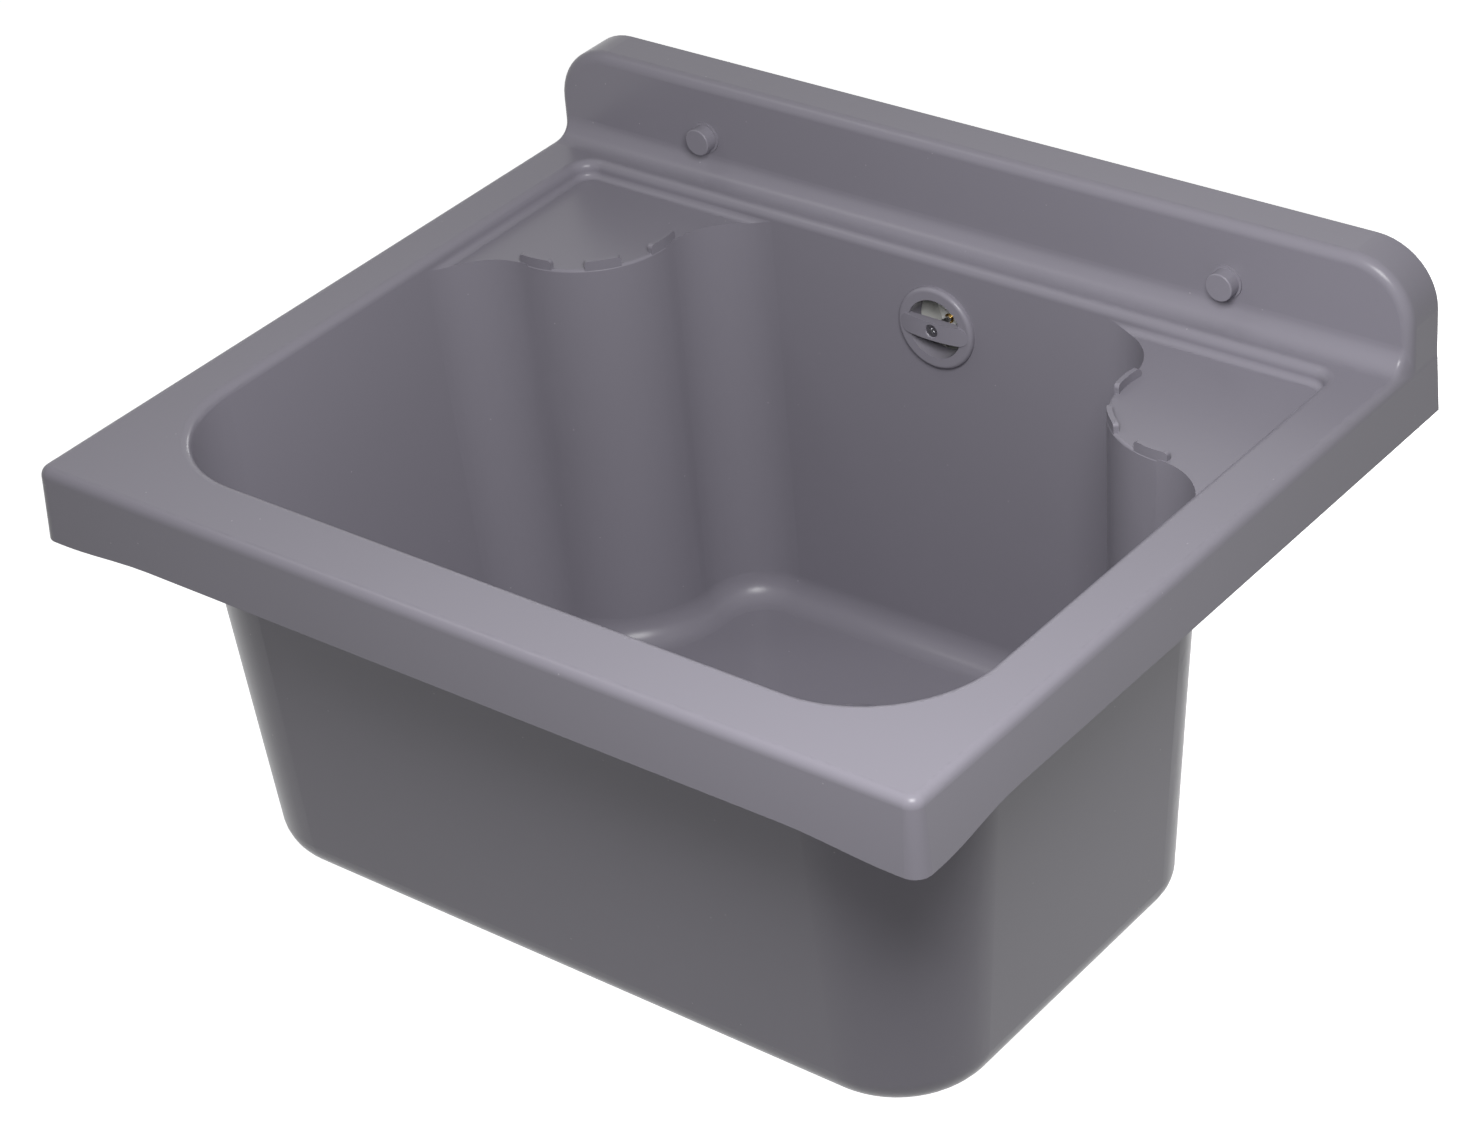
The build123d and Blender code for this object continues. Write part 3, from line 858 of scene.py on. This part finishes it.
MIDDLE = (0.0, -0.25, -0.1)
LAMPS = (
    Lamp("front_lamp", place=(0.50, -0.74, 0.66), aim=(-0.05, -0.10, -0.15), size=0.4, watts=11.5),
    Lamp("side_lamp", place=(-0.95, -0.55, 1.30), aim=MIDDLE, size=0.25, watts=1.6),
    Lamp("rear_lamp", place=(-0.50, 1.50, -0.20), aim=MIDDLE, size=0.9, watts=18.0),
)


@dataclass
class Studio:
    """Camera, plain soft light and the pale floor."""

    position: Vector = field(default_factory=lambda: Vector((1.2343, -1.7203, 1.1014)))
    right: Vector = field(default_factory=lambda: Vector((0.77439, 0.62607, -0.09142)))
    up: Vector = field(default_factory=lambda: Vector((-0.27707, 0.46545, 0.84059)))
    back: Vector = field(default_factory=lambda: Vector((0.56881, -0.62562, 0.53391)))
    lens_mm: float = 97.46
    sensor_mm: float = 36.0
    shift_x: float = 0.08926
    shift_y: float = -0.00798
    nearest: float = 0.05
    farthest: float = 50.0
    world_strength: float = 0.19
    floor_grey: float = 0.6
    floor_paper: float = 0.9
    floor_z: float = -0.85
    floor_size: float = 12.0

    def camera(self) -> None:
        """Place the camera at the photograph's viewing angle."""
        data = bpy.data.cameras.new("camera")
        data.lens = self.lens_mm
        data.sensor_width = self.sensor_mm
        data.sensor_fit = "HORIZONTAL"
        data.shift_x = self.shift_x
        data.shift_y = self.shift_y
        data.clip_start = self.nearest
        data.clip_end = self.farthest
        camera = bpy.data.objects.new("camera", data)
        turn = Matrix((self.right, self.up, self.back)).transposed().to_4x4()
        camera.matrix_world = Matrix.Translation(self.position) @ turn
        bpy.context.scene.collection.objects.link(camera)
        bpy.context.scene.camera = camera

    def seen_directly(self, tree: bpy.types.NodeTree) -> bpy.types.NodeSocket:
        """Find out whether a ray comes straight from the camera or by way of a mirror or glass.

        Args:
            tree: the node tree that asks.

        Returns:
            An output that is 1 for such rays and 0 for the rays that light the sink.
        """
        path = add_node(tree, "ShaderNodeLightPath")
        mirrored = {0: path.outputs["Is Glossy Ray"], 1: path.outputs["Is Transmission Ray"]}
        either = add_node(tree, "ShaderNodeMath", mirrored, operation="MAXIMUM")
        straight = {0: path.outputs["Is Camera Ray"], 1: either.outputs[0]}
        return add_node(tree, "ShaderNodeMath", straight, operation="MAXIMUM").outputs[0]

    def light(self) -> None:
        """Add the lamps and the even surrounding light."""
        for lamp in LAMPS:
            lamp.build()
        world = bpy.data.worlds.new("soft_studio")
        bpy.context.scene.world = world
        world.use_nodes = True
        tree = world.node_tree
        tree.nodes.clear()
        around = add_node(tree, "ShaderNodeBackground", Strength=self.world_strength)
        white = add_node(tree, "ShaderNodeBackground", Strength=1.0)
        around.inputs["Color"].default_value = WHITE
        white.inputs["Color"].default_value = WHITE
        shaders = {0: self.seen_directly(tree), 1: around.outputs[0], 2: white.outputs[0]}
        mix = add_node(tree, "ShaderNodeMixShader", shaders)
        output = add_node(tree, "ShaderNodeOutputWorld")
        tree.links.new(mix.outputs[0], output.inputs["Surface"])

    def floor(self) -> None:
        """Lay the pale floor under the sink."""
        bm = bmesh.new()
        bmesh.ops.create_grid(bm, x_segments=1, y_segments=1, size=self.floor_size / 2)
        bmesh.ops.translate(bm, vec=Vector((0, 0, self.floor_z)), verts=bm.verts)
        mesh = bpy.data.meshes.new("floor")
        bm.to_mesh(mesh)
        bm.free()
        floor = bpy.data.objects.new("floor", mesh)
        bpy.context.scene.collection.objects.link(floor)
        material, tree, output = new_material("pale_floor")
        shader = add_node(tree, "ShaderNodeBsdfDiffuse")
        shader.inputs["Color"].default_value = (self.floor_grey, self.floor_grey, self.floor_grey, 1.0)
        # The camera and mirrored rays see white paper, a little less bright where the sink shades it
        level = add_node(tree, "ShaderNodeMath", {0: self.seen_directly(tree)}, operation="MULTIPLY")
        level.inputs[1].default_value = self.floor_paper
        paper = add_node(tree, "ShaderNodeEmission", {"Strength": level.outputs[0]})
        both = add_node(tree, "ShaderNodeAddShader", {0: shader.outputs[0], 1: paper.outputs[0]})
        tree.links.new(both.outputs[0], output.inputs[0])
        mesh.materials.append(material)

    def build(self) -> None:
        """Set up the whole studio."""
        self.camera()
        self.light()
        self.floor()
        bpy.context.scene.view_settings.view_transform = "Standard"
        LOG.info("studio ready")


def main() -> None:
    """Dress the construction model, add the fine pieces and set up the studio."""
    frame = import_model()
    finishes = Finishes()
    finishes.dress(frame["nodes"])
    OverflowHose().build(finishes.hose)
    Threads().build(finishes.zinc, finishes.waste)
    ScrewHeads().build(finishes.stainless)
    Studio().build()


if __name__ == "__main__":
    main()
